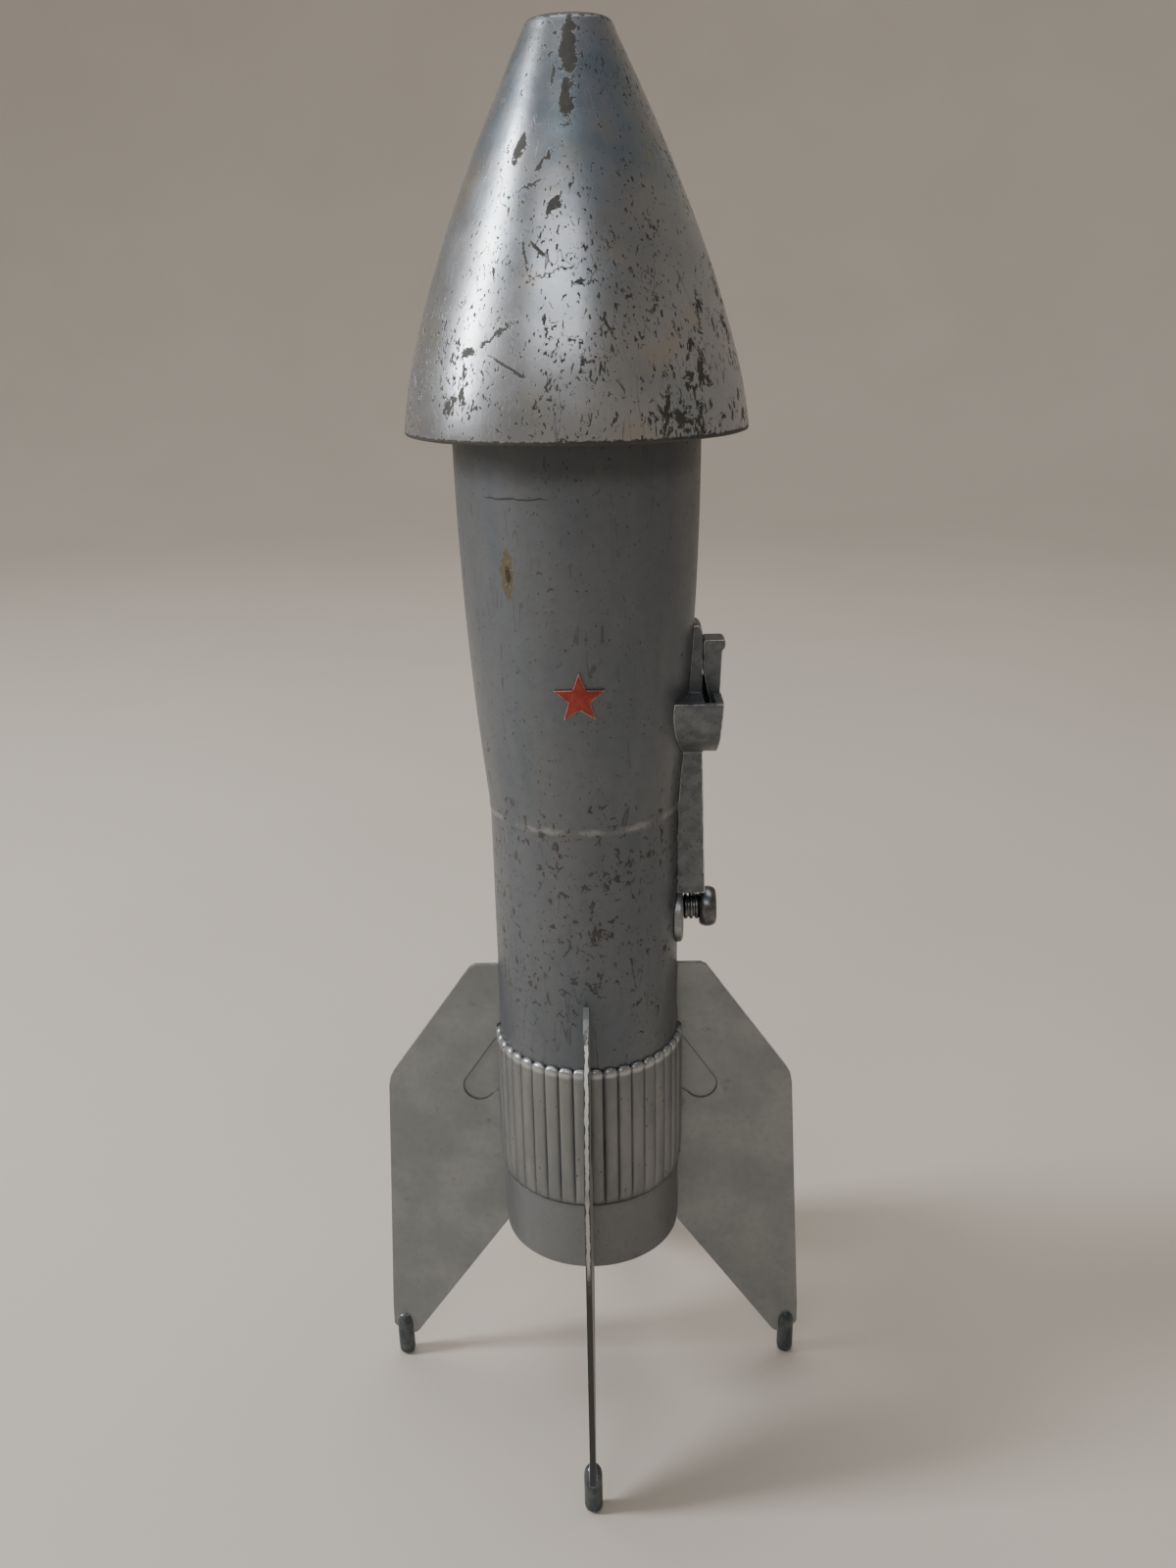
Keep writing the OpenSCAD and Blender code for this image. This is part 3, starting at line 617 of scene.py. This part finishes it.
def casting_material(name, dark, light, worn_tone, metallic, rough_base, grain, edge_at):
    """Painted rough casting whose convex edges are rubbed bright."""
    n = Nodes(name)
    tone = n.mix(n.step(n.noise(2.6, 5.0, seed=1.0), 0.3, 0.7), dark, light)
    pits = n.step(n.noise(grain, 4.0, seed=4.0), 0.62, 0.70)
    tone = n.mix(n.mul(pits, 0.8), tone, tuple(c * 0.35 for c in dark))
    ragged = n.add(n.attribute("wear"), n.vary(n.noise(0.9, 4.0, seed=2.0), 0.5))
    worn = n.step(ragged, edge_at, edge_at + 0.14)
    colour = n.mix(worn, tone, worn_tone)
    rough = n.blend(worn, n.add(rough_base, n.mul(n.noise(2.0, 4.0, seed=7.0), 0.16)), 0.34)
    height = n.sub(n.mul(n.noise(grain, 4.0, seed=9.0), 0.6), pits)
    return n.finish(colour, metallic, rough, n.bump(height, 0.06 * MM, 0.8))


def metal_material(name, dark, light, rough_base):
    """Bare or plated metal, dulled by handling."""
    n = Nodes(name)
    tone = n.mix(n.step(n.noise(2.2, 4.0, seed=1.0), 0.3, 0.7), dark, light)
    tarnish = n.step(n.noise(3.5, 5.0, seed=3.0), 0.55, 0.72)
    tone = n.mix(n.mul(tarnish, 0.5), tone, tuple(c * 0.4 for c in dark))
    rough = n.add(rough_base, n.mul(n.noise(1.5, 4.0, seed=6.0), 0.18))
    normal = n.bump(n.noise(1.0, 3.0, seed=9.0), 0.02 * MM, 0.7)
    return n.finish(tone, 1.0, rough, normal)


def badge_material():
    n = Nodes("badge_paint")
    tone = n.mix(n.step(n.noise(1.3, 4.0, seed=1.0), 0.3, 0.7), (0.24, 0.019, 0.013), (0.38, 0.040, 0.025))
    ragged = n.add(n.attribute("wear"), n.vary(n.noise(0.8, 4.0, seed=2.0), 0.8))
    worn = n.step(ragged, 0.50, 0.60)
    colour = n.mix(worn, tone, (0.46, 0.45, 0.44))
    rough = n.blend(worn, n.add(0.34, n.mul(n.noise(1.0, 3.0, seed=7.0), 0.2)), 0.36)
    normal = n.bump(n.noise(0.5, 3.0, seed=9.0), 0.03 * MM, 0.7)
    return n.finish(colour, n.blend(worn, 0.0, 0.85), rough, normal)


paints = {
    "nose_paint": nose_material(),
    "body_paint": body_material(),
    "collar_paint": collar_material(),
    "fin_paint": fin_material(),
    "launcher_paint": casting_material("launcher_paint", (0.115, 0.127, 0.140), (0.185, 0.197, 0.208),
                                       (0.60, 0.61, 0.61), 0.6, 0.36, 0.55, 0.34),
    "foot_metal": casting_material("foot_metal", (0.060, 0.074, 0.083), (0.125, 0.143, 0.152),
                                   (0.40, 0.42, 0.43), 0.7, 0.30, 0.8, 0.34),
    "bright_metal": metal_material("bright_metal", (0.26, 0.27, 0.28), (0.38, 0.39, 0.40), 0.30),
    "knob_steel": metal_material("knob_steel", (0.12, 0.125, 0.13), (0.24, 0.245, 0.25), 0.26),
    "badge_paint": badge_material(),
    "inner_metal": metal_material("inner_metal", (0.22, 0.22, 0.225), (0.30, 0.30, 0.30), 0.45),
    "trap_metal": metal_material("trap_metal", (0.33, 0.33, 0.34), (0.44, 0.44, 0.44), 0.33),
    "screw_steel": metal_material("screw_steel", (0.24, 0.24, 0.25), (0.34, 0.34, 0.34), 0.32),
    "spring_steel": metal_material("spring_steel", (0.42, 0.42, 0.44), (0.55, 0.55, 0.56), 0.24),
    "brass": metal_material("brass", (0.44, 0.31, 0.12), (0.60, 0.45, 0.20), 0.28),
}


# ---------------------------------------------------------------- revolved shells
def nose_radius(h):
    """Outer radius of the nose at a height above its rim."""
    return RIM_R - NOSE_TAPER * (max(h, 0.0) / NOSE_H) ** NOSE_POWER


def flare_radius(z):
    """Outer radius of the flared body at a height."""
    t = (z - WAIST_Z) / (RIM_Z - WAIST_Z)
    return WAIST_R + (MOUTH_R - WAIST_R) * (1 - (1 - min(t, 1.0)) ** FLARE_POWER)


def nose_piece():
    corner_h = NOSE_H - 2.0 * MM
    corner_r = nose_radius(corner_h)
    profile = arc(RIM_R - 0.55 * MM, RIM_Z + 0.5 * MM, 0.5 * MM, 0.5 * MM, -90, 0, 6)
    profile += [(nose_radius(h), RIM_Z + h) for h in span(1.0 * MM, corner_h, 90)]
    profile += arc(corner_r - 2.4 * MM, TIP_Z - 1.7 * MM, 2.15 * MM, 1.7 * MM, 20, 90, 8)
    hole_r = SCREW_HEAD_R + 0.15 * MM
    seat_z = screw_high.z - 1.9 * MM
    shank_r = 2.1 * MM
    profile += [(hole_r + 0.15 * MM, TIP_Z), (hole_r, TIP_Z - 0.15 * MM), (hole_r, seat_z), (shank_r, seat_z)]
    inner_top = NOSE_H - 8 * MM
    profile += [(shank_r, RIM_Z + inner_top)]
    wall = NOSE_WALL * 1.12
    low = floor_high.z + 1.4 * MM - RIM_Z
    profile += [(nose_radius(h) - wall, RIM_Z + h) for h in span(inner_top, low, 40)]
    profile += [(NOSE_LEDGE_R, floor_high.z + 1.2 * MM), (NOSE_LEDGE_R, floor_high.z + 0.05 * MM)]
    skirt_r = RIM_R - NOSE_WALL
    profile += [(skirt_r - 0.1 * MM, floor_high.z + 0.05 * MM), (skirt_r + 0.2 * MM, RIM_Z + 0.4 * MM)]
    profile += [(skirt_r + 0.5 * MM, RIM_Z)]
    nose = revolve("nose_shell", profile, 224)
    clean(nose)
    jitter(nose, 0.10 * MM, 9 * MM, 3)
    return nose


def body_profile():
    """Closed outline of the body's wall, outside going up and inside coming down."""
    flange_z = RIM_Z + 0.4 * MM
    inner = TAIL_R - BODY_WALL
    round_r = 0.6 * MM
    profile = [(TAIL_R - round_r, body_low.z)]
    profile += arc(TAIL_R - round_r, body_low.z + round_r, round_r, round_r, -90, 0, 5)
    profile += [(TAIL_R, body_low.z + i * 1.6 * MM) for i in range(2, 10)]
    profile += [(TAIL_R, collar_low.z - 0.3 * MM), (COLLAR_SEAT_R, collar_low.z - 0.1 * MM)]
    profile += [(COLLAR_SEAT_R, collar_high.z - 0.5 * MM), (WAIST_R, collar_high.z - 0.4 * MM)]
    profile += [(WAIST_R, z) for z in span(collar_high.z, WAIST_Z - 1.2 * MM, 34)]
    profile += [(WAIST_R + 0.02 * MM, WAIST_Z - 0.8 * MM), (WAIST_R + 0.15 * MM, WAIST_Z - 0.25 * MM)]
    profile += [(WAIST_R + 0.18 * MM, WAIST_Z + 0.2 * MM), (WAIST_R + 0.2 * MM, WAIST_Z + 0.9 * MM)]
    heights = span(WAIST_Z + 2 * MM, flange_z, 70)
    profile += [(max(flare_radius(z), WAIST_R + 0.2 * MM), z) for z in heights]
    flange_top = flange_z + 0.6 * MM
    profile += [(FLANGE_R, flange_z), (FLANGE_R, flange_top), (MOUTH_R, flange_top), (MOUTH_R, body_high.z)]
    profile += [(MOUTH_R - BODY_WALL, body_high.z), (MOUTH_R - BODY_WALL, RIB_IN_Z + 3 * MM)]
    profile += [(RIB_IN_R, RIB_IN_Z + 2 * MM), (RIB_IN_R, RIB_IN_Z)]
    profile += [(flare_radius(z) - BODY_WALL, z) for z in span(RIB_IN_Z, WAIST_Z, 20)]
    profile += [(WAIST_R - BODY_WALL, collar_high.z + 1 * MM), (inner, collar_high.z), (inner, body_low.z)]
    return profile


def slot_cutter(half_w, low, top):
    """A bar along X with round ends above and below."""
    outline = arc(0.0, top - half_w, half_w, half_w, 0, 180, 16)
    outline += arc(0.0, low + half_w, half_w, half_w, 180, 360, 16)
    near = 12 * MM
    far = 30 * MM
    count = len(outline)
    verts = [(near, y, z) for y, z in outline] + [(far, y, z) for y, z in outline]
    faces = [(i, (i + 1) % count, count + (i + 1) % count, count + i) for i in range(count)]
    faces += [tuple(reversed(range(count))), tuple(range(count, 2 * count))]
    cutter = make_object("slot_cutter", verts, faces)
    clean(cutter)
    return cutter


def cut(obj, cutter):
    """Takes the cutter's shape out of a piece."""
    modifier = obj.modifiers.new("cut", "BOOLEAN")
    modifier.object = cutter
    modifier.solver = "EXACT"
    apply_modifiers(obj)


def block(name, low, high):
    """A plain block, used only to cut with."""
    verts = [(x, y, z) for x in (low[0], high[0]) for y in (low[1], high[1]) for z in (low[2], high[2])]
    faces = [(0, 1, 3, 2), (4, 6, 7, 5), (0, 4, 5, 1), (2, 3, 7, 6), (0, 2, 6, 4), (1, 5, 7, 3)]
    return make_object(name, verts, faces)


def body_pieces():
    profile = body_profile()
    slot = slot_cutter(1.9 * MM, KNOB_Z - 6.8 * MM, KNOB_Z + 3.6 * MM)
    entry_low = (MOUTH_R + 0.02 * MM, -11.5 * MM, RIM_Z + 0.2 * MM)
    entry_high = (30 * MM, 11.5 * MM, RIM_Z + 1.1 * MM)
    entry = block("entry_cutter", entry_low, entry_high)
    gap = PART_GAP / WAIST_R
    halves = []
    for name, start in (("body_front_shell", math.pi), ("body_back_shell", 0.0)):
        half = revolve(name, profile, 110, start + gap, start + math.pi - gap)
        clean(half)
        cut(half, slot)
        cut(half, entry)
        clean(half)
        edge = half.modifiers.new("edge", "BEVEL")
        edge.width = 0.12 * MM
        edge.segments = 2
        edge.angle_limit = math.radians(50)
        apply_modifiers(half)
        clean(half, 40)
        halves.append(half)
    for cutter in (slot, entry):
        bpy.data.objects.remove(cutter)
    return halves


def collar_piece():
    """Fluted ring: rounded ribs with beads on top, fading into the tail at the lower edge."""
    per_rib = 14
    around = RIB_COUNT * per_rib
    valley_r = 20.4 * MM
    inner_r = 19.65 * MM
    relief = 0.56 * MM
    bead_h = 1.4 * MM
    shoulder_z = collar_high.z - bead_h
    low_z = collar_low.z
    rise = 34
    fade = 6.0 * MM
    neck_z = shoulder_z - 1.5 * MM
    foot_r = TAIL_R + 0.12 * MM
    verts, faces = [], []
    for i in range(around):
        phase = ((i % per_rib) / per_rib - 0.5) * 2
        height = math.sqrt(max(1 - abs(phase) ** 2.4, 0.0))
        dome_h = bead_h * (0.25 + 0.75 * height)
        angle = 2 * math.pi * i / around
        column = [(inner_r, low_z), (TAIL_R + 0.08 * MM, low_z)]
        for k in range(rise + 1):
            z = low_z + 0.12 * MM + (shoulder_z - low_z - 0.12 * MM) * (k / rise) ** 0.9
            grow = math.sin(min((z - low_z) / fade, 1.0) * math.pi / 2) ** 0.7
            neck = math.exp(-((z - neck_z) / (0.4 * MM)) ** 2) * 0.26 * MM * height
            swell = (valley_r - foot_r + relief * height) * (0.25 + 0.75 * grow)
            column.append((foot_r + swell - neck, z))
        top_r = valley_r + relief * height
        for k in range(1, 8):
            a = math.pi / 2 * k / 8
            r = inner_r + (top_r - inner_r) * math.cos(a) ** 0.8
            column.append((r, shoulder_z + dome_h * math.sin(a)))
        column.append((inner_r, shoulder_z + dome_h))
        verts += [(r * math.cos(angle), r * math.sin(angle), z) for r, z in column]
    count = len(column)
    for i in range(around):
        j = (i + 1) % around
        for k in range(count):
            n = (k + 1) % count
            faces.append((i * count + k, j * count + k, j * count + n, i * count + n))
    collar = make_object("fluted_collar", verts, faces)
    clean(collar, 60)
    return collar


def shaft_ring(x0, x1, low, high, steps):
    """A round-shouldered ring on a turned shaft, from x0 to x1."""
    points = [(low, x0)]
    for k in range(1, steps):
        t = k / steps
        points.append((low + (high - low) * math.sin(math.pi * t) ** 0.35, x0 + (x1 - x0) * t))
    points.append((low, x1))
    return points


def knob_piece():
    """Spindle, grooved shaft and a rounded head, turned round the X axis."""
    shaft_r = 2.8 * MM
    spindle_r = 1.5 * MM
    head_r = (knob_high.z - knob_low.z) / 2
    x0 = knob_low.x
    x1 = knob_high.x
    head_x = 24.45 * MM
    profile = [(0.0, x0), (spindle_r - 0.2 * MM, x0)]
    profile += [(spindle_r, x0 + 0.2 * MM), (spindle_r, x0 + 5.0 * MM)]
    for ring_x in (21.2, 22.35, 23.5):
        profile += shaft_ring(ring_x * MM, (ring_x + 0.9) * MM, shaft_r - 0.5 * MM, shaft_r, 8)
    profile += [(shaft_r - 0.2 * MM, head_x - 0.03 * MM), (shaft_r + 0.1 * MM, head_x)]
    bulge = 14
    for k in range(1, bulge + 1):
        a = math.pi * 0.93 * k / bulge
        x = head_x + (x1 - head_x) * (0.5 - 0.5 * math.cos(a))
        profile.append((shaft_r + (head_r - shaft_r) * math.sin(a + 0.02) ** 0.6, x))
    profile += [(1.4 * MM, x1 - 0.02 * MM), (0.0, x1)]
    knob = turned_x("knob_turned", profile, 72, KNOB_Z)
    clean(knob, 50)
    return knob


def coil_piece():
    """The striker's spring, copied from the CAD coil as it stands; the real spring shortens as the knob is
    pulled.
    """
    coil = bpy.data.objects.new("striker_coil", frame["nodes"]["striker_spring"].data.copy())
    scene.collection.objects.link(coil)
    clean(coil, 60)
    return coil


# ---------------------------------------------------------------- build the pieces
nose = nose_piece()
stand_in(nose, "rocket", "nose_cone", paints["nose_paint"])

front, back = body_pieces()
stand_in(front, "rocket", "body_front_half", paints["body_paint"])
stand_in(back, "rocket", "body_back_half", paints["body_paint"])

collar = collar_piece()
stand_in(collar, "rocket", "tail_collar", paints["collar_paint"])

knob = knob_piece()
stand_in(knob, "striker", "pull_knob", paints["knob_steel"])

coil = coil_piece()
stand_in(coil, "rocket", "striker_spring", paints["spring_steel"])
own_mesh(coil)

for side in ("right", "back", "left", "front"):
    blade = fin_piece("fin_" + side, "fin_plate_" + side)
    stand_in(blade, "rocket", "fin_" + side, paints["fin_paint"])

CASTINGS = [
    # node, piece, body, slot, voxel, smoothing passes, share of faces kept, unevenness
    ("foot_right", "foot_peg_right", "rocket", "foot_metal", 0.12, 3, 0.6, 0.03),
    ("foot_back", "foot_peg_back", "rocket", "foot_metal", 0.12, 3, 0.6, 0.03),
    ("foot_left", "foot_peg_left", "rocket", "foot_metal", 0.12, 3, 0.6, 0.03),
    ("foot_front", "foot_peg_front", "rocket", "foot_metal", 0.12, 3, 0.6, 0.03),
    ("launcher_casting", "launcher_body", "rocket", "launcher_paint", 0.15, 3, 0.5, 0.06),
    ("slot_plate", "slot_frame", "rocket", "bright_metal", 0.12, 4, 0.6, 0.02),
    ("badge_star", "star_badge", "rocket", "badge_paint", 0.08, 3, 0.6, 0.02),
    ("coin_keeper", "keeper_finger", "keeper", "launcher_paint", 0.11, 3, 0.6, 0.04),
]
for seed, (node, name, body, slot_name, voxel, smooth, keep, lumps) in enumerate(CASTINGS):
    piece = cast_copy(node, name, voxel * MM, smooth, keep, lumps * MM, seed)
    add_wear(piece, voxel * MM * 6)
    stand_in(piece, body, node, paints[slot_name])

# The other CAD pieces keep their meshes and get softened edges and a material each
slots = {row["node"]: row["material_slot"] for row in frame["record"]["subparts"]}
built = {"nose_cone", "body_front_half", "body_back_half", "tail_collar", "pull_knob", "striker_spring"}
replaced = {row[0] for row in CASTINGS} | built
for node, obj in frame["nodes"].items():
    if node in replaced or node.startswith("fin_"):
        continue
    obj.data.materials.clear()
    obj.data.materials.append(paints[slots[node]])
    weld = obj.modifiers.new("weld", "WELD")
    weld.merge_threshold = 1e-6
    if "spring" not in node:
        edge = obj.modifiers.new("edge", "BEVEL")
        edge.width = 0.12 * MM
        edge.segments = 2
        edge.angle_limit = math.radians(40)


# ---------------------------------------------------------------- stage, light and camera
def stage_material():
    n = Nodes("stage_cloth")
    tone = n.mix(n.noise(160.0, 2.0, seed=1.0), (0.60, 0.545, 0.475), (0.66, 0.605, 0.53))
    return n.finish(tone, 0.0, 0.95)


def stage_bowl():
    """A pale floor that curves up into a wall well away from the rocket."""
    floor_r, wall_r, wall_h = 1.3, 2.1, 2.2
    profile = [(0.0, 0.0)] + [(floor_r * i / 12, 0.0) for i in range(1, 13)]
    cove_r = wall_r - floor_r
    profile += arc(floor_r, cove_r, cove_r, cove_r, -90, 0, 16)[1:]
    profile += [(wall_r, wall_h)]
    segments = 96
    angles = [2 * math.pi * i / segments for i in range(segments)]
    verts = [(r * math.cos(a), r * math.sin(a), z) for r, z in profile for a in angles]
    bowl = make_object("stage_floor", verts, grid_faces(len(profile), segments))
    clean(bowl, 60)
    bowl.data.materials.append(stage_material())


def area_light(name, place, target, size, power, colour):
    data = bpy.data.lights.new(name, "AREA")
    data.shape = "RECTANGLE"
    data.size, data.size_y = size
    data.energy = power
    data.color = colour
    obj = bpy.data.objects.new(name, data)
    obj.location = place
    obj.rotation_mode = "QUATERNION"
    obj.rotation_quaternion = (Vector(target) - Vector(place)).to_track_quat("-Z", "Y")
    scene.collection.objects.link(obj)


def make_camera():
    """The photograph's camera: place, heading, downward pitch and roll."""
    heading, pitch, roll = (math.radians(a) for a in (-1.128, 19.632, -1.128))
    level = math.cos(pitch)
    forward = Vector((math.sin(heading) * level, math.cos(heading) * level, -math.sin(pitch)))
    right = Vector((math.cos(heading), -math.sin(heading), 0.0))
    up = right.cross(forward)
    right_rolled = right * math.cos(roll) + up * math.sin(roll)
    up_rolled = up * math.cos(roll) - right * math.sin(roll)
    data = bpy.data.cameras.new("camera")
    data.lens = 30.65
    data.sensor_width = 36.0
    data.clip_start = 0.01
    camera = bpy.data.objects.new("camera", data)
    camera.matrix_world = Matrix.Translation((0.0061, -0.2658, 0.2442)) @ Matrix((
        (right_rolled.x, up_rolled.x, -forward.x), (right_rolled.y, up_rolled.y, -forward.y),
        (right_rolled.z, up_rolled.z, -forward.z))).to_4x4()
    scene.collection.objects.link(camera)
    scene.camera = camera


def make_world():
    world = bpy.data.worlds.new("room")
    world.use_nodes = True
    background = world.node_tree.nodes["Background"]
    background.inputs["Color"].default_value = (0.80, 0.86, 1.0, 1.0)
    background.inputs["Strength"].default_value = 0.12
    scene.world = world


stage_bowl()
make_camera()
make_world()
area_light("window", (-1.05, -0.14, 0.82), (0, 0, 0.2), (0.22, 0.62), 13.0, (0.96, 0.98, 1.0))
area_light("front_soft", (-0.25, -1.05, 1.10), (0, 0, 0.2), (0.85, 0.32), 3.3, (0.95, 0.97, 1.0))
area_light("ceiling", (-0.1, 0.35, 1.7), (0, 0.1, 0), (1.2, 1.2), 13.0, (1.0, 0.97, 0.92))
